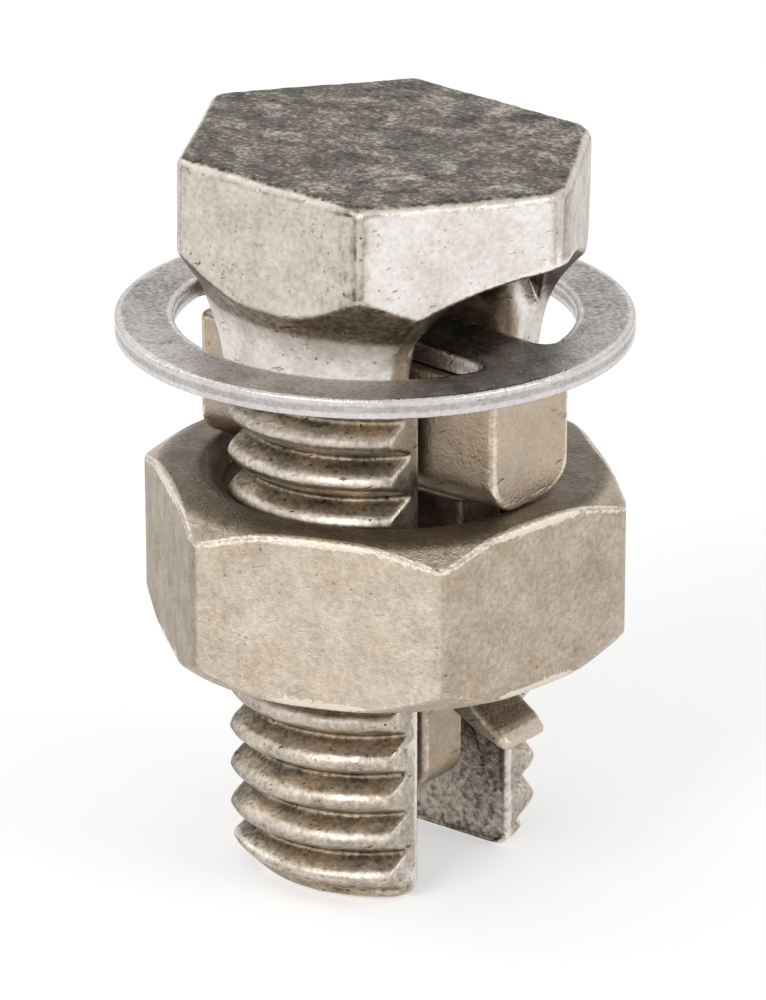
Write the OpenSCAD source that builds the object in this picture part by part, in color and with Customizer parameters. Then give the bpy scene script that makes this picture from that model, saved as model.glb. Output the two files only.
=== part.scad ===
// Split bolt connector: a slotted bolt, a captive hex nut, a pressure bar and a spacer.
// The slot runs along X, the bolt stands on its two legs at Z = 0, and +Z points to the head.

/* [Bolt head] */
// Width of the bolt head across its flats
head_af = 19.05; // [18.6:0.05:20]
// Height of the whole bolt, from the leg tips to the top of the head
bolt_height = 38.1; // [37:0.1:44]
// Height of the lowest point of the head's flats, above the leg tips
head_flat_z = 31.5; // [31:0.1:32.5]
// Steepness of the turned underside of the head, from the horizontal, in degrees
head_under_angle = 53; // [40:1:60]
// Radius of the soft edge round the top of the head
head_edge_r = 0.7; // [0.2:0.1:1.2]
// How far the corners of the head are turned back from sharp
head_corner_cut = 0.25; // [0.1:0.05:0.6]

/* [Bolt shank] */
// Outer diameter of the thread
thread_d = 15.875; // [15.4:0.025:16.4]
// Pitch of the thread, 12 turns to the inch
thread_pitch = 2.117; // [1.8:0.001:2.4]
// Depth of the thread from crest to root
thread_depth = 1.2; // [0.9:0.05:1.3]
// Height of the first crest on the +X side, above the leg tips
thread_phase = 1.97; // [0:0.01:2.1]
// Height at which the thread ends and the smooth neck begins
neck_z = 26.8; // [25:0.1:27]
// Step of the neck over the crest of the thread that runs out into it
neck_step = 0.06; // [0.05:0.01:0.2]
// Radius of the neck where it meets the underside of the head
neck_top_r = 8.6; // [8.3:0.05:9]
// Radius of the plain tip below the first turn of the thread
tip_r = 7.2; // [6.9:0.05:7.5]
// Height of the plain tip
tip_h = 0.8; // [0.4:0.1:1.2]
// Size of the bevel round the foot of each leg
tip_bevel = 0.3; // [0.1:0.05:0.5]

/* [Slot] */
// Width of the slot between the legs
slot_w = 7.3; // [7:0.1:8]
// Height of the round crown of the slot, above the leg tips
slot_crown_z = 31.2; // [31:0.1:32.5]
// Distance between the flats on the ends of the legs, measured along the slot
leg_flats = 10.3; // [9.6:0.1:11]
// Radius of the long edges of the legs
leg_edge_r = 0.6; // [0.2:0.1:1]
// Radius of the sweep from the leg flats out to the underside of the head
mouth_r = 7; // [6:0.1:7.4]
// Radius of the bell where the crown of the slot opens into the mouth
bell_r = 2.2; // [1:0.1:2.4]

/* [Nut] */
// Width of the nut across its flats
nut_af = 22.2; // [21.8:0.1:23]
// Height of the nut
nut_h = 9; // [8:0.1:9.4]
// Height of the underside of the nut above the leg tips
nut_z = 12.1; // [11.6:0.1:14]
// Angle of the nut about the bolt, in degrees
nut_turn = 21.1; // [0:0.1:60]
// How far the corners of the nut are turned back from sharp
nut_corner_cut = 0.22; // [0.1:0.02:0.5]
// Fall of the chamfer from the top face to the corners
nut_top_chamfer = 1; // [0.5:0.1:1.8]
// Rise of the chamfer from the bottom face to the corners
nut_foot_chamfer = 1.3; // [0.5:0.1:1.8]
// Radius of the countersink in the two faces of the nut
nut_sink_r = 9; // [8.6:0.1:9.6]
// Running clearance between the threads of the nut and the bolt
thread_clear = 0.15; // [0.12:0.01:0.2]

/* [Pressure bar] */
// Length of the saddle along the slot
saddle_l = 18.4; // [17:0.1:20]
// Height of the saddle
saddle_h = 6.9; // [5:0.1:7.2]
// Clearance between the saddle and each side of the slot
saddle_clear = 0.45; // [0.3:0.05:0.6]
// Radius of the saddle's lower long edges
saddle_keel_r = 1.9; // [1:0.1:2.4]
// Radius of the saddle's upright edges
saddle_edge_r = 0.8; // [0.3:0.1:1.2]
// Gap between the nut and the saddle that it lifts
bar_seat = 0.05; // [0.03:0.01:0.2]
// Thickness of the tongue that passes down through the nut
tongue_t = 3.4; // [2.8:0.1:3.6]
// Width of the tongue inside the nut, along the slot
tongue_w = 12.6; // [12:0.1:12.7]
// Width of the straight middle of the tongue, below the nut
tongue_mid_w = 7.9; // [6:0.1:8.2]
// Height of the tongue's end above the leg tips
tongue_tip_z = 4.4; // [4.3:0.1:7]
// Radius of the corners at the tongue's end
tongue_tip_r = 1.5; // [0.5:0.1:2.5]
// Reach of each bent ear from the bolt's axis
ear_reach = 9.1; // [8.2:0.1:9.4]
// Fall of each ear's lip below the underside of the nut
ear_fall = 3.9; // [3.4:0.1:4.4]

/* [Spacer] */
// Outer diameter of the spacer
spacer_od = 25.9; // [25:0.1:27]
// Diameter across the two windows of the spacer
spacer_id = 20; // [19.4:0.1:20.6]
// Thickness of the spacer
spacer_t = 1; // [0.8:0.05:1.1]
// Width of the bar across the spacer
spacer_bar_w = 4.1; // [3.6:0.1:4.4]
// Radius of the corners of the windows
spacer_corner_r = 1; // [0.4:0.1:1.5]
// Gap between the spacer and the saddle that it lies on
spacer_seat = 0.05; // [0.03:0.01:0.2]
// How far the loose spacer lies off centre along the slot
spacer_shift = -0.4; // [-0.5:0.05:0.5]
// Angle of the loose spacer to the slot, in degrees
spacer_turn = -6; // [-7:0.5:7]

/* [Hidden] */

$fn = 64;
over = 1;                 // how far cutting shapes run past what they cut
thread_r = thread_d / 2;
core_r = thread_r - thread_depth;
neck_r = thread_r + neck_step;
leg_x = leg_flats / 2;
head_r = head_af / 2 / cos(30) - head_corner_cut;
nut_r = nut_af / 2 / cos(30) - nut_corner_cut;
nut_top_z = nut_z + nut_h;
crown_axis_z = slot_crown_z - slot_w / 2;
saddle_z = nut_top_z + bar_seat;
saddle_top_z = saddle_z + saddle_h;
saddle_w = slot_w - 2 * saddle_clear;
spacer_z = saddle_top_z + spacer_seat;
under_rise = tan(head_under_angle);
neck_top_z = head_flat_z - (head_af / 2 - neck_top_r) * under_rise;
thread_steps = 36;        // facets in one turn of a thread

// One pitch of the thread as [height from the crest, radius]. A wider, larger copy gives
// the nut its clearance.
function thread_tooth(clear) =
    let (p = thread_pitch, crest = thread_r + clear, root = core_r + clear)
    [
        [-0.40 * p - clear, root],
        [-0.13 * p - clear, crest - 0.12],
        [-0.05 * p - clear, crest],
        [0.05 * p + clear, crest],
        [0.13 * p + clear, crest - 0.12],
        [0.40 * p + clear, root]
    ];

// Height of the first crest at an angle round the axis
function crest_z(angle) = thread_phase + thread_pitch * angle / 360;

// Threaded rod that covers the two heights, with the clearance added all over: the
// bolt's legs are cut from one, and a larger one taps the nut. Its wall is one strip of
// rows that joins itself a whole tooth further up after each turn.
module thread_rod(from_z, to_z, clear = 0) {
    tooth = thread_tooth(clear);
    m = len(tooth);
    first = floor((from_z - thread_phase) / thread_pitch) - 2;
    last = ceil((to_z - thread_phase) / thread_pitch) + 1;
    rows = (last - first + 1) * m;
    // rows of one angle, with one extra turn for the wrap at the seam
    points = concat(
        [
            for (i = [0:thread_steps - 1]) let (a = 360 * i / thread_steps)
                for (k = [0:rows])
                    let (t = tooth[k % m], turn = first + floor(k / m))
                    [t[1] * cos(a), t[1] * sin(a), crest_z(a) + turn * thread_pitch + t[0]]
        ],
        [for (k = [rows + 1:rows + m])
            let (t = tooth[k % m], turn = first + floor(k / m))
            [t[1], 0, crest_z(0) + turn * thread_pitch + t[0]]],
        [
            [0, 0, crest_z(0) + (first + 0.5) * thread_pitch],
            [0, 0, crest_z(0) + (last + 1.5) * thread_pitch]
        ]
    );
    column = rows + 1;
    seam = thread_steps * column;         // first of the extra seam points
    low = seam + m;
    high = low + 1;
    // the point at step i and row k, where the last step is the first one a turn higher
    function at(i, k) =
        i < thread_steps ? i * column + k
        : k + m < column ? k + m
        : seam + (k + m - column);
    walls = [
        for (i = [0:thread_steps - 1]) for (k = [0:rows - 1])
            each [[at(i, k), at(i, k + 1), at(i + 1, k + 1)],
                  [at(i, k), at(i + 1, k + 1), at(i + 1, k)]]
    ];
    floor_fan = concat(
        [for (i = [0:thread_steps - 1]) [low, at(i, 0), at(i + 1, 0)]],
        [for (k = [0:m - 1]) [low, k + 1, k]]
    );
    roof_fan = concat(
        [for (i = [0:thread_steps - 1]) [high, at(i + 1, rows), at(i, rows)]],
        [for (k = [0:m - 1]) [high, at(thread_steps, rows - m + k), at(thread_steps, rows - m + k + 1)]]
    );
    polyhedron(points, concat(walls, floor_fan, roof_fan), convexity = 10);
}

// Section of the head across one pair of flats, with soft upper edges
module head_slab(angle) {
    half = head_af / 2;
    low_z = neck_z - over;
    rotate([90, 0, angle]) linear_extrude(height = 3 * half, center = true) {
        translate([-half, low_z]) square([2 * half, bolt_height - head_edge_r - low_z]);
        translate([-half + head_edge_r, low_z])
            square([2 * (half - head_edge_r), bolt_height - low_z]);
        for (side = [-1, 1])
            translate([side * (half - head_edge_r), bolt_height - head_edge_r])
                circle(r = head_edge_r);
    }
}

// Turned form of the neck and the head, before the flats and the slot
module head_blank() {
    corner_z = head_flat_z + (head_r - head_af / 2) * under_rise;
    rotate_extrude() polygon([
        [0, neck_z],
        [neck_r, neck_z],
        [neck_top_r, neck_top_z],
        [head_r, corner_z],
        [head_r, bolt_height - head_edge_r],
        [head_r - head_edge_r, bolt_height],
        [0, bolt_height]
    ]);
}

// Half of the bell-mouthed opening in plan: x is the distance from the middle of the
// slot, y runs along the slot
module bell_half() {
    half_w = slot_w / 2;
    start = leg_x + bell_r / 5 - bell_r;
    reach = head_r + over;
    translate([0, -reach]) square([half_w, 2 * reach]);
    for (end = [-1, 1]) scale([1, end]) difference() {
        translate([half_w - 0.01, start]) square([bell_r + 0.01, reach - start]);
        translate([half_w + bell_r, start]) circle(r = bell_r);
    }
}

// Everything that the slot, its crown and its two mouths take out of the head and neck
module slot_cut() {
    translate([0, 0, crown_axis_z]) rotate([0, 0, 90]) rotate([90, 0, 0])
        rotate_extrude() bell_half();
    translate([0, 0, neck_z - over])
        linear_extrude(height = crown_axis_z - neck_z + over)
            rotate([0, 0, -90]) for (side = [0, 1]) mirror([side, 0]) bell_half();
    for (end = [-1, 1])
        translate([end * (leg_x + mouth_r), 0, neck_z]) rotate([90, 0, 0])
            cylinder(r = mouth_r, h = 3 * head_r, center = true);
}

// Plan of the leg on the +Y side of the slot, with soft long edges
module leg_plan() {
    e = leg_edge_r;
    translate([-leg_x, slot_w / 2 + e]) square([2 * leg_x, thread_r]);
    translate([-leg_x + e, slot_w / 2]) square([2 * (leg_x - e), thread_r]);
    for (end = [-1, 1])
        translate([end * (leg_x - e), slot_w / 2 + e]) circle(r = e);
}

// Turned outline that the threaded legs keep within: plain tip, bevel and first turn
module leg_blank() {
    top_r = thread_r + over;
    rotate_extrude() polygon([
        [0, 0],
        [tip_r - tip_bevel, 0],
        [tip_r, tip_bevel],
        [tip_r, tip_h],
        [top_r, tip_h + top_r - tip_r],
        [top_r, neck_z],
        [0, neck_z]
    ]);
}

// The two threaded legs, from the tips up to the neck
module legs() {
    runout = neck_r - core_r + over;
    intersection() {
        union() {
            thread_rod(0, neck_z);
            translate([0, 0, -over]) cylinder(r = tip_r, h = tip_h + over);
            // square cone in which the thread runs out into the neck
            translate([0, 0, neck_z - runout]) cylinder(r1 = neck_r - runout, r2 = neck_r, h = runout);
        }
        linear_extrude(height = neck_z) for (side = [0, 1]) mirror([0, side]) leg_plan();
        leg_blank();
    }
}

module split_bolt() {
    color([0.80, 0.78, 0.74]) {
        difference() {
            intersection() {
                head_blank();
                head_slab(30);
                head_slab(90);
                head_slab(150);
            }
            slot_cut();
        }
        legs();
    }
}

// Hexagon with its corners turned back and both faces chamfered
module nut_blank() {
    flat_r = nut_af / 2;
    intersection() {
        rotate([0, 0, nut_turn]) translate([0, 0, nut_z])
            cylinder(r = nut_af / 2 / cos(30), h = nut_h, $fn = 6);
        rotate_extrude() polygon([
            [0, nut_z],
            [flat_r, nut_z],
            [nut_r, nut_z + nut_foot_chamfer],
            [nut_r, nut_top_z - nut_top_chamfer],
            [flat_r, nut_top_z],
            [0, nut_top_z]
        ]);
    }
}

module hex_nut() {
    // the countersinks are square cones that reach in to the root of the thread
    sink = nut_sink_r - core_r;
    color([0.66, 0.61, 0.54]) difference() {
        nut_blank();
        thread_rod(nut_z, nut_top_z, thread_clear);
        translate([0, 0, nut_top_z - sink])
            cylinder(r1 = core_r, r2 = nut_sink_r + over, h = sink + over);
        translate([0, 0, nut_z - over])
            cylinder(r1 = nut_sink_r + over, r2 = core_r, h = sink + over);
    }
}

// Saddle that lifts the conductors, with a rounded keel
module saddle() {
    half = saddle_w / 2;
    k = saddle_keel_r;
    e = saddle_edge_r;
    intersection() {
        // section across the slot
        rotate([90, 0, 90]) linear_extrude(height = saddle_l, center = true) {
            translate([-half, saddle_z + k]) square([2 * half, saddle_h - k]);
            translate([-half + k, saddle_z]) square([2 * (half - k), saddle_h]);
            for (side = [-1, 1])
                translate([side * (half - k), saddle_z + k]) circle(r = k);
        }
        // plan with soft upright edges
        translate([0, 0, saddle_z]) linear_extrude(height = saddle_h) {
            square([saddle_l, 2 * (half - e)], center = true);
            square([saddle_l - 2 * e, 2 * half], center = true);
            for (x = [-1, 1]) for (y = [-1, 1])
                translate([x * (saddle_l / 2 - e), y * (half - e)]) circle(r = e);
        }
    }
}

// Side view of one bent ear: the lip hangs outside the bore, below the nut
module ear_outline() {
    in_x = tongue_mid_w / 2 - 0.5;
    out_x = tongue_w / 2;
    lip_z = nut_z - ear_fall;
    reach = ear_reach - out_x;
    polygon([
        [in_x, nut_z],
        [out_x, nut_z],
        [out_x + 0.08 * reach, nut_z - 0.25 * ear_fall],
        [out_x + 0.29 * reach, nut_z - 0.45 * ear_fall],
        [out_x + 0.55 * reach, nut_z - 0.60 * ear_fall],
        [out_x + 0.80 * reach, nut_z - 0.72 * ear_fall],
        [ear_reach, nut_z - 0.88 * ear_fall],
        [ear_reach, nut_z - 0.97 * ear_fall],
        [ear_reach - 0.3, lip_z],
        [out_x + 0.3 * reach, lip_z + 0.14 * ear_fall],
        [out_x - 0.05 * reach, lip_z + 0.27 * ear_fall],
        [in_x, lip_z + 0.62 * ear_fall]
    ]);
}

module pressure_bar() {
    mid = tongue_mid_w / 2;
    r = tongue_tip_r;
    color([0.72, 0.65, 0.53]) {
        saddle();
        rotate([90, 0, 0]) linear_extrude(height = tongue_t, center = true) {
            translate([-tongue_w / 2, nut_z]) square([tongue_w, saddle_z + saddle_keel_r - nut_z]);
            translate([-mid, tongue_tip_z + r]) square([2 * mid, nut_z - tongue_tip_z]);
            translate([-mid + r, tongue_tip_z]) square([2 * (mid - r), nut_z - tongue_tip_z]);
            for (end = [-1, 1]) {
                translate([end * (mid - r), tongue_tip_z + r]) circle(r = r);
                scale([end, 1]) ear_outline();
            }
        }
    }
}

// One window of the spacer, on the +Y side, with round corners
module spacer_window() {
    r = spacer_corner_r;
    outer = spacer_id / 2;
    low = spacer_bar_w / 2;
    // where the corner circles touch both the rim and the bar
    cx = sqrt(pow(outer - r, 2) - pow(low + r, 2));
    intersection() {
        circle(r = outer);
        translate([-cx, low]) square([2 * cx, outer]);
    }
    difference() {
        intersection() {
            circle(r = outer);
            translate([-outer, low + r]) square([2 * outer, outer]);
        }
        // the rim above each corner circle is kept
        for (end = [-1, 1]) scale([end, 1]) polygon([
            [cx, low + r],
            [(outer + over) * cx / (outer - r), (outer + over) * (low + r) / (outer - r)],
            [(outer + over), low + r]
        ]);
    }
    for (end = [-1, 1]) translate([end * cx, low + r]) circle(r = r);
}

module spacer() {
    color([0.74, 0.73, 0.71])
        translate([spacer_shift, 0, spacer_z]) rotate([0, 0, spacer_turn])
            linear_extrude(height = spacer_t) difference() {
                circle(d = spacer_od);
                for (side = [0, 1]) mirror([0, side]) spacer_window();
            }
}

split_bolt();
hex_nut();
pressure_bar();
spacer();
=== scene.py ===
"""Split bolt connector: the finished bolt, nut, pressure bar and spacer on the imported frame."""

import math

import bpy
import numpy as np
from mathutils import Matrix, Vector


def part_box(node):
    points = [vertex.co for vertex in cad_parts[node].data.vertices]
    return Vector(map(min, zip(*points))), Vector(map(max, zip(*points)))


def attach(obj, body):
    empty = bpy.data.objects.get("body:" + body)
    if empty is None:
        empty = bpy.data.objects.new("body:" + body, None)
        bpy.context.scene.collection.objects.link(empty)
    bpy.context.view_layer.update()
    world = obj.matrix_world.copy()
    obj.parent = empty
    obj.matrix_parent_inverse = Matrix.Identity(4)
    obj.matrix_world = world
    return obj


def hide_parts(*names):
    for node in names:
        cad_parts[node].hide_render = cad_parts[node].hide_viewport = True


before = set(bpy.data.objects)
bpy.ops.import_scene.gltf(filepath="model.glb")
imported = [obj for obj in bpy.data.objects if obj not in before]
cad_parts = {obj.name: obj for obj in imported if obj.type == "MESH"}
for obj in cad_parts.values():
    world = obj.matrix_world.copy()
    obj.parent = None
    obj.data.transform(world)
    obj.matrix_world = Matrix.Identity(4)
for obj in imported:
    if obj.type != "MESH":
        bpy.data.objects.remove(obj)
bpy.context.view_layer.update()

MM = 0.001

# Sizes in millimetres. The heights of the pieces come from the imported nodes.
HEAD_AF = 19.05
HEAD_CORNER_R = 10.85
HEAD_LEAN = math.radians(2.6)
LEAN_SIDE = (0.788, 0.616)      # the side that the head leans down to
LEAN_START = 3.0                # height over which the lean sets in
LEAN_SHIFT = 0.3                # share of the lean that moves the head sideways
HEAD_DROP = 0.1
HEAD_GROWTH = {-30: 0.35, 30: 0.2}      # how far a flat stands out, by the degrees it faces
HEAD_UNDER = math.radians(53)
HEAD_FLAT_Z = 31.5
NECK_Z = 26.8
NECK_R = 8.0
NECK_TOP_R = 8.6
NECK_OVERLAP = 2
THREAD_R = 7.9375
CORE_R = 6.7375
PITCH = 2.117
THREAD_PHASE = 1.97
TIP_R = 7.2
TIP_H = 0.8
SLOT_HALF = 3.65
CROWN_AXIS_Z = 27.55
LEG_X = 5.15
FOOT_CUT = 0.45
MOUTH_R = 7.0
BELL_R = 2.2
NUT_AF = 22.2
NUT_CORNER_R = 12.6
NUT_TOP_CUT = 1.0
NUT_FOOT_CUT = 1.3
NUT_TURN = math.radians(21.1)
NUT_SINK_R = 9.0
NUT_CLEAR = 0.15
SADDLE_MORE = 0.15
SADDLE_CLEAR = 0.05
TONGUE_HALF = 1.7
TONGUE_W = 6.3
TONGUE_MID = 3.95
EAR_DROP = 3.9
EAR_X = 9.1
EAR_LIP_X = 8.8
EAR_BEND = ((0, 0), (0.08, 0.25), (0.29, 0.45), (0.55, 0.60), (0.80, 0.72), (1, 0.88), (1, 0.97))
SPACER_R = 12.95
SPACER_WINDOW_R = 10.0
SPACER_BAR = 2.05
SPACER_SHIFT = (-0.45, -0.05)
SPACER_TURN = math.radians(-6)

# How the meshes are made and marked, in millimetres
GRID_PAD = 0.9          # room around a node's box, because the head leans past its own
PROBE = 0.02            # distance over which a slope is measured
STRIDE = 0.1            # the most that a point moves in one round
MARK_DEPTH = 0.45       # how wide edges and hollows are marked

# Painted light and shade: the tone of each side, by the degrees that it faces
HEAD_SIDE_LIGHT = {-90: 0.66, -30: 0.87, 30: 0.57, 90: 0.7, 150: 0.8, 210: 0.6}
NUT_SIDE_LIGHT = {-69: 0.78, -9: 0.67, 51: 0.6, 111: 0.6, 171: 0.64, -129: 0.52}


def node_box(node):
    """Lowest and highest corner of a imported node, in millimetres."""
    low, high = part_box(node)
    return np.array(low) / MM, np.array(high) / MM


BOXES = {node: node_box(node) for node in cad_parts}
NECK_TOP_Z = HEAD_FLAT_Z - (HEAD_AF / 2 - NECK_TOP_R) * math.tan(HEAD_UNDER)


# ---- Shapes, as distances in millimetres that are negative inside the metal ----

def soft_and(a, b, r):
    """What is inside both shapes, with the edge between them rounded to radius r."""
    corner = np.hypot(np.maximum(a + r, 0), np.maximum(b + r, 0))
    return np.minimum(-r, np.maximum(a, b)) + corner


def soft_or(a, b, r):
    """What is inside either shape, with a fillet of radius r between them."""
    corner = np.hypot(np.maximum(r - a, 0), np.maximum(r - b, 0))
    return np.maximum(r, np.minimum(a, b)) - corner


def hexagon(x, y, across, turn, r, growth=None):
    """Six flats with their corners rounded to r. The first faces turn, in radians, and growth
    says how far a flat stands out, by the degrees that it faces."""
    shape = None
    for k in range(6):
        a = turn + k * math.pi / 3
        facing = (round(math.degrees(a)) + 180) % 360 - 180
        flat = x * math.cos(a) + y * math.sin(a) - across / 2 - (growth or {}).get(facing, 0)
        shape = flat if shape is None else soft_and(shape, flat, r)
    return shape


def wander(x, y, z, size, seed):
    """Smooth random waves from -1 to 1 that are about size millimetres long."""
    n = 24
    table = np.random.default_rng(seed).uniform(-1, 1, (n, n, n))
    cell, part = [], []
    for v in (x, y, z):
        g = v / size + 100.0
        k = np.floor(g)
        w = g - k
        cell.append(k.astype(int))
        part.append(w * w * (3 - 2 * w))
    out = 0
    for i in (0, 1):
        for j in (0, 1):
            for k in (0, 1):
                share = ((part[0] if i else 1 - part[0]) * (part[1] if j else 1 - part[1])
                         * (part[2] if k else 1 - part[2]))
                out = out + share * table[(cell[0] + i) % n, (cell[1] + j) % n, (cell[2] + k) % n]
    return out


def thread(r, angle, z, crest_r, root_r, crest_half, crest_round, root_round):
    """Rod with a right-handed thread whose flanks stand at 30 degrees from square."""
    along = (z - THREAD_PHASE - PITCH * angle / math.tau + PITCH / 2) % PITCH - PITCH / 2
    flank = (np.abs(along) - crest_half) * math.cos(math.pi / 6) + (r - crest_r) * 0.5
    tooth = soft_and(r - crest_r, flank, crest_round)
    return soft_or(r - root_r, tooth, root_round)


def leaned(x, y, z):
    """The place on a square head that a point of the forged head comes from: the head leans
    a little to one side, from the neck upwards."""
    share = np.clip((z - NECK_TOP_Z + LEAN_START / 2) / LEAN_START, 0, 1)
    lean = HEAD_LEAN * share * share * (3 - 2 * share)
    side = x * LEAN_SIDE[0] + y * LEAN_SIDE[1]
    up = z - NECK_TOP_Z
    shift = side * (np.cos(lean) - 1) - up * np.sin(lean) * LEAN_SHIFT
    return x + shift * LEAN_SIDE[0], y + shift * LEAN_SIDE[1], z + side * np.sin(lean) + HEAD_DROP * share


def bolt_field(x, y, z, fine=False):
    """The whole split bolt."""
    top_z = BOXES["split_bolt"][1][2]
    r, angle = np.hypot(x, y), np.arctan2(y, x)
    # head: hexagon, turned corners, flat top and a cone below
    hx, hy, hz = leaned(x, y, z)
    hr = np.hypot(hx, hy)
    cone = ((hr - NECK_TOP_R) * math.tan(HEAD_UNDER) - (hz - NECK_TOP_Z)) * math.cos(HEAD_UNDER)
    sides = hexagon(hx, hy, HEAD_AF, math.pi / 6, r=0.42, growth=HEAD_GROWTH)
    top = hz - top_z
    if fine:
        top = top + 0.03 * wander(x, y, z, size=1.1, seed=5) + 0.02 * wander(x, y, z, size=0.4, seed=8)
        sides = sides + 0.06 * wander(x, y, z, size=3.4, seed=6) + 0.02 * wander(x, y, z, size=1.1, seed=9)
        cone = cone + 0.05 * wander(x, y, z, size=1.6, seed=10)
    head = soft_and(soft_and(sides, hr - HEAD_CORNER_R, r=0.3), cone, r=0.12)
    head = soft_and(head, top, r=0.62)
    neck = r - NECK_R - (z - NECK_Z) * (NECK_TOP_R - NECK_R) / (NECK_TOP_Z - NECK_Z)
    neck = np.maximum(neck, z - NECK_TOP_Z - NECK_OVERLAP)
    head = soft_or(head, neck, r=0.8)
    # threaded shank with its run-out and plain tip
    shank = thread(r, angle, z, THREAD_R, CORE_R, crest_half=0.3, crest_round=0.36,
                   root_round=0.2)
    shank = soft_or(shank, np.maximum(r - TIP_R, z - TIP_H), r=0.2)
    shank = soft_and(shank, (r - TIP_R - (z - TIP_H)) * math.sqrt(0.5), r=0.25)
    shank = soft_or(shank, (r - NECK_R - (z - NECK_Z)) * math.sqrt(0.5), r=0.25)
    if fine:
        shank = shank + 0.025 * wander(x, y, z, size=0.9, seed=7)
    body = np.where(z < NECK_Z, shank, head)
    # slot with its half-round crown, which opens out towards both mouths
    reach = np.clip((np.abs(x) - (LEG_X + BELL_R / 5 - BELL_R)) / BELL_R, 0, 0.995)
    flare = BELL_R * (1 - np.sqrt(1 - reach * reach)) * (z > NECK_Z)
    tunnel = np.where(z > CROWN_AXIS_Z, np.hypot(y, z - CROWN_AXIS_Z), np.abs(y)) - SLOT_HALF
    tunnel = tunnel - flare
    # the two mouths sweep out from the flats of the legs to the underside of the head
    sweep = MOUTH_R - np.hypot(np.abs(x) - LEG_X - MOUTH_R, z - NECK_Z)
    mouth = np.where(z < NECK_Z, np.abs(x) - LEG_X, sweep)
    body = soft_and(body, mouth, r=0.16)
    body = soft_and(body, -tunnel, r=0.22)
    foot = (np.abs(x) - LEG_X + FOOT_CUT - z) * math.sqrt(0.5)
    body = soft_and(body, foot, r=0.45)
    return soft_and(body, -z, r=0.28)


def nut_field(x, y, z, fine=False):
    """The hex nut with its threaded and countersunk bore."""
    low, high = (v[2] for v in BOXES["hex_nut"])
    r, angle = np.hypot(x, y), np.arctan2(y, x)
    sides = hexagon(x, y, NUT_AF, NUT_TURN + math.pi / 6, r=0.25)
    if fine:
        sides = sides + 0.03 * (1 + wander(x, y, z, size=5.0, seed=11))
    over = NUT_CORNER_R - NUT_AF / 2
    top = ((z - high) * over + (r - NUT_AF / 2) * NUT_TOP_CUT) / math.hypot(over, NUT_TOP_CUT)
    foot = ((low - z) * over + (r - NUT_AF / 2) * NUT_FOOT_CUT) / math.hypot(over, NUT_FOOT_CUT)
    body = soft_and(sides, r - NUT_CORNER_R, r=0.3)
    body = soft_and(body, top, r=0.12)
    body = soft_and(body, foot, r=0.12)
    body = soft_and(body, z - high, r=0.3)
    body = soft_and(body, low - z, r=0.3)
    bore = thread(r, angle, z, THREAD_R + NUT_CLEAR, CORE_R + NUT_CLEAR, crest_half=0.45,
                  crest_round=0.35, root_round=0.12)
    for face in (z - high, low - z):
        sink = (r - NUT_SINK_R - face) * math.sqrt(0.5)
        bore = soft_or(bore, sink, r=0.05)
    return soft_and(body, -bore, r=0.25)


def outline_field(points, x, z):
    """Distance from a closed outline in the plane of x and z, negative inside."""
    far = np.full(np.broadcast(x, z).shape, 1e9)
    inside = np.zeros(far.shape, bool)
    for (ax, az), (bx, bz) in zip(points, points[1:] + points[:1]):
        dx, dz = bx - ax, bz - az
        t = np.clip(((x - ax) * dx + (z - az) * dz) / (dx * dx + dz * dz), 0, 1)
        far = np.minimum(far, np.hypot(x - ax - t * dx, z - az - t * dz))
        if dz:
            inside ^= ((az > z) != (bz > z)) & (x < ax + (z - az) * dx / dz)
    return np.where(inside, -far, far)


def bar_field(x, y, z, fine=False):
    """The pressure bar: saddle, tongue and bent ears."""
    (_, _, tip_z), (half_l, half_w, top_z) = BOXES["pressure_bar"]
    nut_low, nut_high = (v[2] for v in BOXES["hex_nut"])
    low_z = nut_high + SADDLE_CLEAR
    ax, ay = np.abs(x), np.abs(y)
    half_l = half_l + SADDLE_MORE
    plan = soft_and(ax - half_l, ay - half_w, r=0.45)
    saddle = soft_and(soft_and(ay - half_w, low_z - z, r=1.9), plan, r=0.1)
    saddle = soft_and(saddle, z - top_z, r=0.45)
    saddle = soft_and(saddle, ax - half_l, r=0.25)
    if fine:
        saddle = saddle + 0.04 * (1 + wander(x, y, z, size=3.2, seed=21))
    wide = soft_and(ax - TONGUE_W, nut_low - z, r=0.1)
    wide = np.maximum(wide, z - low_z - 3)
    middle = soft_and(ax - TONGUE_MID, tip_z - z, r=1.5)
    middle = np.maximum(middle, z - nut_low - 1)
    drop, reach, lip = EAR_DROP, EAR_X - TONGUE_W, nut_low - EAR_DROP
    ear = [(TONGUE_MID - 0.5, nut_low)]
    ear += [(TONGUE_W + a * reach, nut_low - b * drop) for a, b in EAR_BEND]
    ear += [(EAR_LIP_X, lip), (TONGUE_W + 0.3 * reach, lip + 0.14 * drop),
            (TONGUE_W - 0.05 * reach, lip + 0.27 * drop), (TONGUE_MID - 0.5, lip + 0.62 * drop)]
    ears = outline_field(ear, ax, z)
    tongue = soft_or(soft_or(wide, middle, r=0.4), ears, r=0.4)
    tongue = soft_and(tongue, ay - TONGUE_HALF, r=0.4)
    if fine:
        tongue = tongue + 0.03 * (1 + wander(x, y, z, size=2.1, seed=22))
    return soft_or(saddle, tongue, r=0.3)


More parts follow.
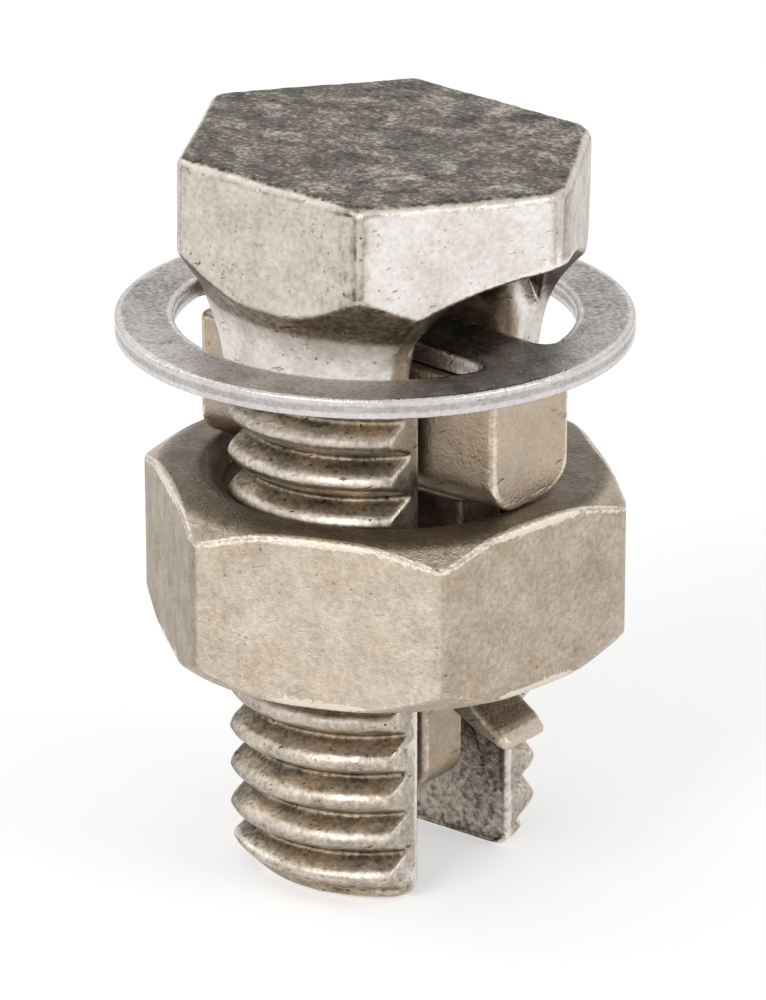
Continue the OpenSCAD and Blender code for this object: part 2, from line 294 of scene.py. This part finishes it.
def spacer_field(x, y, z, fine=False):
    """The stamped spacer: ring and crossbar."""
    low, high = (v[2] for v in BOXES["spacer"])
    c, s = math.cos(SPACER_TURN), math.sin(SPACER_TURN)
    x0, y0 = x - SPACER_SHIFT[0], y - SPACER_SHIFT[1]
    u, v = x0 * c + y0 * s, y0 * c - x0 * s
    r = np.hypot(u, v)
    window = soft_and(r - SPACER_WINDOW_R, SPACER_BAR - np.abs(v), r=1.0)
    rim = r - SPACER_R
    if fine:
        rim = rim + 0.03 * (1 + wander(x, y, z, size=2.5, seed=31))
    plan = np.maximum(rim, -window)
    shape = soft_and(plan, z - high, r=0.18)
    return soft_and(shape, low - z, r=0.1)


# ---- Meshes ----

def settle(field, points, rounds=3):
    """Points moved onto the surface of a field, and their outward directions."""
    e = PROBE
    for _ in range(rounds):
        x, y, z = points.T
        slope = np.stack([
            field(x + e, y, z, True) - field(x - e, y, z, True),
            field(x, y + e, z, True) - field(x, y - e, z, True),
            field(x, y, z + e, True) - field(x, y, z - e, True),
        ], 1) / (2 * e)
        steep = np.maximum((slope ** 2).sum(1, keepdims=True), 0.05)
        shift = field(x, y, z, True)[:, None] * slope / steep
        far = np.maximum(np.linalg.norm(shift, axis=1, keepdims=True) / STRIDE, 1)
        points = points - shift / far
    return points, slope / np.sqrt(steep)


def skin(name, field, node, step, most):
    """Closed mesh of a field's surface, thinned to at most so many triangles."""
    low, high = BOXES[node]
    axes = [np.arange(a - GRID_PAD, b + GRID_PAD, step) for a, b in zip(low, high)]
    grid = np.broadcast_to(
        field(axes[0][:, None, None], axes[1][None, :, None], axes[2][None, None, :]),
        [len(a) for a in axes])
    inside = grid < 0
    across, down = len(axes[1]) - 1, len(axes[2]) - 1
    cells, points, rings = [], [], []
    for axis in range(3):
        near, far = [slice(None)] * 3, [slice(None)] * 3
        near[axis], far[axis] = slice(0, -1), slice(1, None)
        at = np.argwhere(inside[tuple(near)] != inside[tuple(far)])
        here = grid[tuple(at.T)]
        at2 = at.copy()
        at2[:, axis] += 1
        point = at.astype(float)
        point[:, axis] += here / (here - grid[tuple(at2.T)])
        ring = []
        for du, dv in ((-1, -1), (0, -1), (0, 0), (-1, 0)):
            cell = at.copy()
            cell[:, (axis + 1) % 3] += du
            cell[:, (axis + 2) % 3] += dv
            ring.append((cell[:, 0] * across + cell[:, 1]) * down + cell[:, 2])
            points.append(point)
        cells += ring
        ring = np.stack(ring, 1)
        ring[here >= 0] = ring[here >= 0][:, ::-1]
        rings.append(ring)
    codes, owner = np.unique(np.concatenate(cells), return_inverse=True)
    points = np.concatenate(points)
    share = np.bincount(owner)
    verts = np.stack([np.bincount(owner, points[:, k]) / share for k in range(3)], 1)
    verts = verts * step + np.array([a[0] for a in axes])
    verts, _ = settle(field, verts)
    faces = np.searchsorted(codes, np.concatenate(rings))
    mesh = bpy.data.meshes.new(name)
    mesh.from_pydata((verts * MM).tolist(), [], faces.tolist())
    piece = bpy.data.objects.new(name, mesh)
    bpy.context.scene.collection.objects.link(piece)
    if 2 * len(faces) > most:
        thin = piece.modifiers.new("thin", "DECIMATE")
        thin.ratio = most / (2 * len(faces))
        graph = bpy.context.evaluated_depsgraph_get()
        piece.data = bpy.data.meshes.new_from_object(piece.evaluated_get(graph))
        piece.modifiers.clear()
        bpy.data.meshes.remove(mesh)
        piece.data.name = name
    piece.data.shade_smooth()
    return piece


def step_up(low, high, v):
    """0 at low, 1 at high and smooth between them. low may be the larger one."""
    t = np.clip((v - low) / (high - low), 0, 1)
    return t * t * (3 - 2 * t)


def painted_side_light(out, tones):
    """Painted light and shade of the sides, from {degrees that a side faces: tone}, and where they are."""
    tone, share = 0, 0
    for facing, value in tones.items():
        a = math.radians(facing)
        part = step_up(0.88, 0.97, out[:, 0] * math.cos(a) + out[:, 1] * math.sin(a))
        tone, share = tone + part * value, share + part
    return tone, np.minimum(share, 1)


def bolt_marks(p, out):
    """Tone, warmth and roughness of the bolt's skin: forged top, sides, cone, neck, thread."""
    x, y, z = p.T
    r = np.hypot(x, y)
    hz = leaned(x, y, z)[2]
    # painted light and shade: each side of the head takes its tone from where it faces
    side, share = painted_side_light(out, HEAD_SIDE_LIGHT)
    head = step_up(NECK_TOP_Z, NECK_TOP_Z + 0.5, hz)
    tone = 0.70 * (1 - share) + side * share
    # the corner between two sides is scuffed dark in broken patches
    corner = step_up(0.13, 0.01, np.abs(np.arctan2(y, x) + math.pi / 3)) * head
    tone = tone - 0.26 * corner * step_up(-0.2, 0.5, wander(x, y, z, size=0.32, seed=41))
    warm = 0.25 + 0.0 * z
    # painted shade under the head: faces that look down are darker, and warmer in tint
    under_shade = head * step_up(0.2, 0.45, -out[:, 2])
    tone = tone * (1 - under_shade) + 0.36 * under_shade
    warm = warm + 0.5 * under_shade
    top_z = BOXES["split_bolt"][1][2]
    ground = step_up(0.75, 0.95, out[:, 2]) * step_up(top_z - 1.2, top_z - 0.6, hz)
    # the top's ground is darker: partly its dull forged skin, partly painted shade for the dark reflection
    # that a top catches
    tone = tone * (1 - ground) + 0.28 * ground
    # thread: warm valleys, crests with a painted highlight along their upper rim, painted shade towards
    # the tip, a painted dark reflection on the far side and a bright collar
    shank = step_up(0, 0.6, NECK_Z - z) * step_up(CORE_R - 0.2, CORE_R, r)
    crest = step_up(THREAD_R - 0.45, THREAD_R - 0.1, r)
    # painted highlight on the crests' upward-facing rim
    rim = step_up(THREAD_R - 0.3, THREAD_R - 0.1, r) * step_up(0.15, 0.5, out[:, 2])
    tone = tone * (1 - shank) + shank * (0.54 + 0.05 * crest + 0.1 * rim)
    # painted shade: the thread darkens towards the tip
    tone = tone - 0.12 * shank * step_up(0, 1, 1.8 - z)
    warm = warm * (1 - shank) + shank * (1.0 - 0.45 * crest)
    collar = step_up(NECK_Z - 0.1, NECK_Z + 0.3, z) * (1 - head) * step_up(CORE_R, NECK_R - 0.4, r)
    tone = tone * (1 - collar) + 0.78 * collar
    # painted dark reflection on the far side of the front leg's thread
    far_side_shade = step_up(0.25, 0.85, -x * np.sign(-y) / r)
    tone = tone - 0.3 * shank * far_side_shade * (y < 0)
    slot_face = (np.abs(np.abs(y) - SLOT_HALF) < 0.05) & (z < NECK_Z)
    flat_face = (np.abs(np.abs(x) - LEG_X) < 0.05) & (z < NECK_Z)
    # painted light on the upper part of the legs' flats, and painted shade on the slot faces between the
    # legs
    tone = np.where(flat_face, 0.54 + 0.20 * step_up(14, 20, z), tone)
    tone = np.where(slot_face, 0.21, tone)
    warm = np.where(slot_face | flat_face, 0.2, warm)
    ground = np.maximum(ground, 0.45 * shank * ~(slot_face | flat_face))
    # crown of the slot and the mouths' ceilings, darkened with painted shade
    ceiling_shade = (z > NECK_Z) * step_up(0.2, 0.6, -out[:, 2]) * (np.hypot(y, z - CROWN_AXIS_Z) < 7)
    ceiling_shade = ceiling_shade * (r < HEAD_CORNER_R) * step_up(0.15, 0.4, np.abs(out[:, 0]))
    tone = tone * (1 - 0.6 * ceiling_shade)
    return tone, warm, ground


def nut_marks(p, out):
    """Tone, warmth and roughness of the nut's skin."""
    # painted light and shade: each side of the nut takes its tone from where it faces
    tone, share = painted_side_light(out, NUT_SIDE_LIGHT)
    # painted shade: faces that look up are darker
    tone = tone + (1 - share) * (0.68 - 0.38 * step_up(0.8, 0.98, out[:, 2]))
    r = np.hypot(*p[:, :2].T)
    # painted shade in the bore, which is also warmer in tint
    bore = step_up(0.2, 0.6, NUT_SINK_R - r)
    return tone * (1 - 0.5 * bore), 0.5 + 0.5 * bore, 0 * r


def bar_marks(p, out):
    """Tone, warmth and roughness of the pressure bar's skin."""
    x, _, z = p.T
    nut_low = BOXES["hex_nut"][0][2]
    # painted shade on faces that look down; the tongue is also darker towards its bottom and below the nut
    tone = 0.63 - 0.2 * step_up(0.5, 0.9, -out[:, 2])
    tone = tone - 0.14 * step_up(0, 2, BOXES["pressure_bar"][0][2] + 2.2 - z)
    end = step_up(0.3, 0.8, np.abs(out[:, 0]))
    lip = step_up(0, 0.5, nut_low - z) * step_up(TONGUE_MID + 0.3, TONGUE_MID + 0.8, np.abs(x))
    tone = tone + 0.06 * end - 0.20 * lip - 0.07 * step_up(0, 1, nut_low - z)
    return tone, 0.75 - 0.4 * lip, 0 * x


def spacer_marks(p, out):
    """Tone, warmth and roughness of the spacer's skin: the crossbar is painted dark with the slot's shade.
    """
    x, y, _ = p.T
    # painted shade on the crossbar, which lies in the slot
    bar = step_up(0.2, 1.2, 8.5 - np.abs(x)) * step_up(0, 0.3, SPACER_BAR + 0.9 - np.abs(y))
    flat = step_up(0.8, 0.95, np.abs(out[:, 2]))
    # painted light: the ring's flat faces grow lighter towards the front
    top = 0.50 + 0.14 * step_up(-2, 9, 0.616 * x - 0.788 * y)
    tone = flat * (top * (1 - bar) + 0.33 * bar) + 0.56 * (1 - flat)
    return tone, 0.05 + 0.0 * x, 0.4 * flat


def note_marks(piece, field, marks, rubbing):
    """Stores each point's marks, and how far it lies on an outer edge or in a hollow. rubbing
    strengthens the edges."""
    depth = MARK_DEPTH
    co = np.empty(len(piece.data.vertices) * 3)
    piece.data.vertices.foreach_get("co", co)
    points, out = settle(field, co.reshape(-1, 3) / MM, 1)
    edge = rubbing * (1 + field(*(points - depth * out).T, True) / depth)
    hollow = 1 - field(*(points + depth * out).T, True) / depth
    tone, warm, ground = marks(points, out)
    named = {"edge": edge, "hollow": hollow, "tone": tone, "warm": warm, "ground": ground}
    for label, value in named.items():
        layer = piece.data.attributes.new(label, "FLOAT", "POINT")
        layer.data.foreach_set("value", np.clip(value, 0, 1).astype(np.float32))


# ---- Finishes ----

class Graph:
    """A material's or group's nodes, added one by one."""

    def __init__(self, tree):
        self.tree = tree

    def put(self, socket, value):
        if isinstance(value, bpy.types.NodeSocket):
            self.tree.links.new(value, socket)
        else:
            socket.default_value = value

    def add(self, kind, inputs=(), **settings):
        node = self.tree.nodes.new("ShaderNode" + kind)
        for key, value in settings.items():
            setattr(node, key, value)
        for key, value in dict(inputs).items():
            self.put(node.inputs[key], value)
        return node

    def sum(self, operation, *values):
        node = self.add("Math", operation=operation)
        for k, value in enumerate(values):
            self.put(node.inputs[k], value)
        return node.outputs[0]

    def rise(self, value, low, high, to_low=0.0, to_high=1.0):
        """value brought from the range low to high into another one, with soft ends."""
        node = self.add("MapRange", interpolation_type="SMOOTHSTEP")
        for k, v in enumerate((value, low, high, to_low, to_high)):
            self.put(node.inputs[k], v)
        return node.outputs[0]

    def noise(self, where, scale, detail=2.0, rough=0.5, drift=0.0):
        node = self.add("TexNoise", {"Vector": where, "Scale": scale, "Detail": detail,
                                     "Roughness": rough, "Distortion": drift})
        return node.outputs["Fac"]

    def mark(self, label):
        return self.add("Attribute", attribute_name=label).outputs["Fac"]


def effect(name, inputs, outputs, build):
    """A named group: inputs as {name: default}, outputs as {name: socket type}."""
    tree = bpy.data.node_groups.new(name, "ShaderNodeTree")
    for label, value in inputs.items():
        kind = "NodeSocketVector" if value is None else "NodeSocketFloat"
        socket = tree.interface.new_socket(name=label, in_out="INPUT", socket_type=kind)
        if value is not None:
            socket.default_value = value
    for label, kind in outputs.items():
        tree.interface.new_socket(name=label, in_out="OUTPUT", socket_type=kind)
    entry, leave = tree.nodes.new("NodeGroupInput"), tree.nodes.new("NodeGroupOutput")
    made = build(Graph(tree), {s.name: s for s in entry.outputs if s.name})
    for label, socket in made.items():
        tree.links.new(socket, leave.inputs[label])
    return tree


def mottle_nodes(g, i):
    """Cloudy tone, from -0.5 to 0.5, with finer clouds inside the broad ones."""
    broad = g.noise(i["Place"], i["Broad"], 3, 0.55, 0.4)
    fine = g.noise(i["Place"], i["Fine"], 2, 0.6)
    both = g.sum("ADD", g.sum("MULTIPLY", g.sum("SUBTRACT", broad, 0.5), i["Broad depth"]),
                 g.sum("MULTIPLY", g.sum("SUBTRACT", fine, 0.5), i["Fine depth"]))
    return {"Tone": both}


def speck_nodes(g, i):
    """Small dark pits, thicker in some places than in others."""
    cell = g.add("TexVoronoi", {"Vector": i["Place"], "Scale": i["Scale"], "Randomness": 1.0})
    near = g.rise(cell.outputs["Distance"], 0.12, 0.34, 1.0, 0.0)
    chosen = g.rise(cell.outputs["Color"], g.sum("SUBTRACT", 1.0, i["Share"]), 1.0)
    patch = g.rise(g.noise(i["Place"], i["Patch"], 2), 0.42, 0.62)
    return {"Mask": g.sum("MULTIPLY", g.sum("MULTIPLY", near, chosen), patch)}


def scratch_nodes(g, i):
    """Short fine lines that run one way."""
    turned = g.add("VectorRotate", {"Vector": i["Place"], "Angle": i["Turn"]},
                   rotation_type="Y_AXIS").outputs[0]
    long = g.add("Mapping", {"Vector": turned, "Scale": (0.3, 0.3, 1.0)}).outputs[0]
    line = g.noise(long, i["Scale"], 2, 0.55, 0.3)
    return {"Mask": g.rise(line, g.sum("SUBTRACT", 0.74, i["Share"]), 0.76)}


def wear_nodes(g, i):
    """Rubbed outer edges, broken up by the grain."""
    grain = g.noise(i["Place"], i["Grain"], 3, 0.6)
    return {"Mask": g.rise(g.sum("ADD", i["Edge"], g.sum("MULTIPLY", grain, i["Break"])),
                           i["Start"], g.sum("ADD", i["Start"], 0.3))}


def grit_nodes(g, i):
    """Height of a tumbled or forged skin: broad dents, fine grit."""
    dents = g.noise(i["Place"], i["Dents"], 3, 0.5)
    grit = g.noise(i["Place"], i["Grit"], 3, 0.65)
    return {"Height": g.sum("ADD", g.sum("MULTIPLY", dents, i["Dent depth"]),
                            g.sum("MULTIPLY", grit, i["Grit depth"]))}


FLOAT = "NodeSocketFloat"
EFFECTS = {
    "mottle": effect("mottle", {"Place": None, "Broad": 300.0, "Fine": 3000.0,
                                "Broad depth": 0.2, "Fine depth": 0.2},
                     {"Tone": FLOAT}, mottle_nodes),
    "specks": effect("specks", {"Place": None, "Scale": 2500.0, "Share": 0.4, "Patch": 500.0},
                     {"Mask": FLOAT}, speck_nodes),
    "scratches": effect("scratches", {"Place": None, "Scale": 4000.0, "Turn": 0.3,
                                      "Share": 0.05}, {"Mask": FLOAT}, scratch_nodes),
    "edge wear": effect("edge wear", {"Place": None, "Edge": 0.0, "Grain": 3000.0,
                                      "Break": 0.4, "Start": 0.5}, {"Mask": FLOAT}, wear_nodes),
    "grit": effect("grit", {"Place": None, "Dents": 600.0, "Grit": 5000.0,
                            "Dent depth": 0.5, "Grit depth": 0.5}, {"Height": FLOAT},
                   grit_nodes),
}

# tone to colour, from the darkest painted shade to bright plate
PALETTE = {
    "plate": ((0.0, (0.020, 0.017, 0.014)), (0.3, (0.150, 0.130, 0.105)),
              (0.62, (0.56, 0.505, 0.445)), (1.0, (0.88, 0.86, 0.84))),
    "grey": ((0.0, (0.018, 0.017, 0.016)), (0.3, (0.150, 0.140, 0.130)),
             (0.62, (0.54, 0.51, 0.49)), (1.0, (0.88, 0.87, 0.86))),
    "sandy": ((0.0, (0.030, 0.024, 0.018)), (0.3, (0.190, 0.155, 0.120)),
              (0.62, (0.44, 0.375, 0.310)), (1.0, (0.80, 0.72, 0.63))),
}
GOLD = (0.42, 0.30, 0.15, 1.0)


def finish(name, palette, broad, fine, pits, lines, wear, hollow_shade, dents, grit, relief, rough):
    """Metal of one piece. broad and fine mottle, dents and grit: (scale, depth). pits and lines:
    (scale, how dark they are). wear and hollow_shade: how bright the rubbed edges are, and how much
    painted shade darkens the hollows. relief: height of the bumps in metres. rough: lowest and highest
    roughness."""
    material = bpy.data.materials.new(name)
    material.use_nodes = True
    g = Graph(material.node_tree)
    shader = g.tree.nodes["Principled BSDF"]
    place = g.add("TexCoord").outputs["Object"]

    def use(label, **inputs):
        node = g.add("Group", node_tree=EFFECTS[label])
        g.put(node.inputs["Place"], place)
        for key, value in inputs.items():
            g.put(node.inputs[key.replace("_", " ")], value)
        return node.outputs[0]

    ground = g.mark("ground")
    mottle = use("mottle", Broad=broad[0], Broad_depth=broad[1], Fine=fine[0],
                 Fine_depth=fine[1])
    streak = use("mottle", Broad=700.0, Broad_depth=0.85, Fine=4200.0, Fine_depth=0.9)
    specks = use("specks", Scale=pits[0], Share=0.45, Patch=450.0)
    scratches = use("scratches", Scale=lines[0], Turn=0.35, Share=0.085)
    rubbed = use("edge wear", Edge=g.mark("edge"), Grain=3500.0, Break=0.55, Start=0.39)
    tone = g.sum("ADD", g.mark("tone"), mottle)
    tone = g.sum("ADD", tone, g.sum("MULTIPLY", streak, ground))
    tone = g.sum("SUBTRACT", tone, g.sum("MULTIPLY", specks, pits[1]))
    tone = g.sum("SUBTRACT", tone, g.sum("MULTIPLY", scratches, lines[1]))
    # painted shade in the hollows
    tone = g.sum("SUBTRACT", tone, g.sum("MULTIPLY", g.mark("hollow"), hollow_shade))
    tone = g.sum("ADD", tone, g.sum("MULTIPLY", rubbed, wear))
    ramp = g.add("ValToRGB", {"Fac": tone})
    stops = ramp.color_ramp.elements
    for k, (at, colour) in enumerate(PALETTE[palette]):
        stop = stops[k] if k < 2 else stops.new(at)
        stop.position, stop.color = at, (*colour, 1.0)
    patina = g.noise(place, 420.0, 3, 0.6)
    gilt = g.sum("MULTIPLY", g.mark("warm"), g.rise(patina, 0.3, 0.7, 0.15, 0.75))
    tinted = g.add("Mix", data_type="RGBA", blend_type="SOFT_LIGHT")
    for k, value in ((0, gilt), (6, ramp.outputs[0]), (7, GOLD)):
        g.put(tinted.inputs[k], value)
    g.put(shader.inputs["Base Color"], tinted.outputs[2])
    shader.inputs["Metallic"].default_value = 1.0
    worn = g.sum("SUBTRACT", g.noise(place, 800.0, 4, 0.6), g.sum("MULTIPLY", rubbed, 0.35))
    worn = g.sum("ADD", worn, g.sum("MULTIPLY", ground, 0.3))
    g.put(shader.inputs["Roughness"], g.rise(worn, 0.2, 0.8, *rough))
    height = use("grit", Dents=dents[0], Dent_depth=dents[1], Grit=grit[0],
                 Grit_depth=grit[1])
    height = g.sum("SUBTRACT", height, g.sum("MULTIPLY", g.sum("ADD", specks, scratches), 0.4))
    raised = g.add("Bump", {"Height": height, "Distance": relief, "Strength": 1.0})
    g.put(shader.inputs["Normal"], raised.outputs["Normal"])
    return material


# ---- Pieces ----

coarse = 1
PIECES = (
    # piece, field, marks, node, body, material slot, grid step, most triangles, rubbing
    ("finished_bolt", bolt_field, bolt_marks, "split_bolt", "bolt", "bright_plate",
     0.12, 196000, 1.0),
    ("finished_nut", nut_field, nut_marks, "hex_nut", "nut", "matt_bronze",
     0.13, 190000, 2.2),
    ("finished_bar", bar_field, bar_marks, "pressure_bar", "bar", "warm_bronze",
     0.12, 120000, 1.6),
    ("finished_spacer", spacer_field, spacer_marks, "spacer", "spacer", "dull_plate",
     0.10, 120000, 1.0),
)
FINISHES = {
    "bright_plate": finish("bright tin plate", "plate", broad=(420.0, 0.42), fine=(3400.0, 0.45),
                           pits=(3400.0, 0.50), lines=(4200.0, 0.32), wear=0.30, hollow_shade=0.14,
                           dents=(900.0, 0.8), grit=(5200.0, 0.35), relief=0.00006,
                           rough=(0.20, 0.46)),
    "matt_bronze": finish("tumbled bronze", "sandy", broad=(650.0, 0.34), fine=(3600.0, 0.42),
                          pits=(3000.0, 0.30), lines=(2500.0, 0.06), wear=0.45, hollow_shade=0.35,
                          dents=(700.0, 0.4), grit=(6500.0, 0.9), relief=0.00009,
                          rough=(0.30, 0.52)),
    "warm_bronze": finish("satin bronze", "sandy", broad=(420.0, 0.26), fine=(5200.0, 0.26),
                          pits=(2600.0, 0.25), lines=(2200.0, 0.18), wear=0.32, hollow_shade=0.35,
                          dents=(600.0, 0.6), grit=(5000.0, 0.5), relief=0.00008,
                          rough=(0.30, 0.55)),
    "dull_plate": finish("mottled tin plate", "grey", broad=(500.0, 0.22), fine=(4200.0, 0.30),
                         pits=(3000.0, 0.30), lines=(2600.0, 0.10), wear=0.18, hollow_shade=0.25,
                         dents=(900.0, 0.4), grit=(5200.0, 0.6), relief=0.00006,
                         rough=(0.26, 0.48)),
}
for name, field, marks, node, body, slot, step, most, rubbing in PIECES:
    piece = skin(name, field, node, step * coarse, most)
    note_marks(piece, field, marks, rubbing)
    piece.data.materials.append(FINISHES[slot])
    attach(piece, body)
    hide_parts(node)

# ---- Camera, floor and light ----

STUDIO_LEVEL = 0.5      # the world's strength as light
FLOOR_GLOW = 0.45       # what the floor adds to its own brightness where it is seen
CAMERA_PLACE = (0.18207, -0.23304, 0.13459)
CAMERA_AIM = (0, 0, 0.01905)
SENSOR_WIDTH = 36
LENS = 228
FLOOR_HALF = 2
LAMP_AIM = (0, 0, 0.02)

camera = bpy.data.objects.new("camera", bpy.data.cameras.new("camera"))
bpy.context.scene.collection.objects.link(camera)
camera.data.sensor_width = SENSOR_WIDTH
camera.data.lens = LENS
camera.location = CAMERA_PLACE
aim = Vector(CAMERA_AIM) - camera.location
camera.rotation_euler = aim.to_track_quat("-Z", "Y").to_euler()
bpy.context.scene.camera = camera
bpy.context.scene.view_settings.view_transform = "Standard"

floor_mesh = bpy.data.meshes.new("floor")
floor_mesh.from_pydata([(FLOOR_HALF * a, FLOOR_HALF * b, 0) for a, b in
                        ((-1, -1), (1, -1), (1, 1), (-1, 1))], [], [(0, 1, 2, 3)])
floor = bpy.data.objects.new("floor", floor_mesh)
bpy.context.scene.collection.objects.link(floor)


def lamp(name, place, size, level):
    """Square soft lamp that faces the middle of the part, at a plain level of brightness."""
    data = bpy.data.lights.new(name, "AREA")
    data.shape = "SQUARE"
    data.size = size
    data.energy = level * math.pi * size * size
    lit = bpy.data.objects.new(name, data)
    bpy.context.scene.collection.objects.link(lit)
    lit.location = place
    aim = Vector(LAMP_AIM) - lit.location
    lit.rotation_euler = aim.to_track_quat("-Z", "Y").to_euler()


lamp("front_lamp", place=(0.02, -0.46, 0.36), size=0.26, level=4.2)
lamp("side_lamp", place=(0.52, 0.10, 0.34), size=0.30, level=2.0)
lamp("left_lamp", place=(-0.50, -0.10, 0.40), size=0.30, level=1.2)


def seen(g):
    """1 for rays that show a background: to the camera, in a reflection or through glass."""
    rays = g.add("LightPath").outputs
    either = g.sum("MAXIMUM", rays["Is Camera Ray"], rays["Is Glossy Ray"])
    return g.sum("MAXIMUM", either, rays["Is Transmission Ray"])


# white paper floor that keeps the part's shadow
paper = bpy.data.materials.new("white paper")
paper.use_nodes = True
g = Graph(paper.node_tree)
sheet = g.tree.nodes["Principled BSDF"]
sheet.inputs["Base Color"].default_value = (0.80, 0.80, 0.80, 1)
sheet.inputs["Roughness"].default_value = 1.0
sheet.inputs["Specular IOR Level"].default_value = 0.0
sheet.inputs["Emission Color"].default_value = (1, 1, 1, 1)
g.put(sheet.inputs["Emission Strength"], g.sum("MULTIPLY", seen(g), FLOOR_GLOW))
floor_mesh.materials.append(paper)

world = bpy.data.worlds.new("studio")
bpy.context.scene.world = world
world.use_nodes = True
g = Graph(world.node_tree)
backdrop = g.tree.nodes["Background"]
backdrop.inputs["Color"].default_value = (1, 1, 1, 1)
white = g.sum("MULTIPLY", seen(g), 1 - STUDIO_LEVEL)
g.put(backdrop.inputs["Strength"], g.sum("ADD", STUDIO_LEVEL, white))
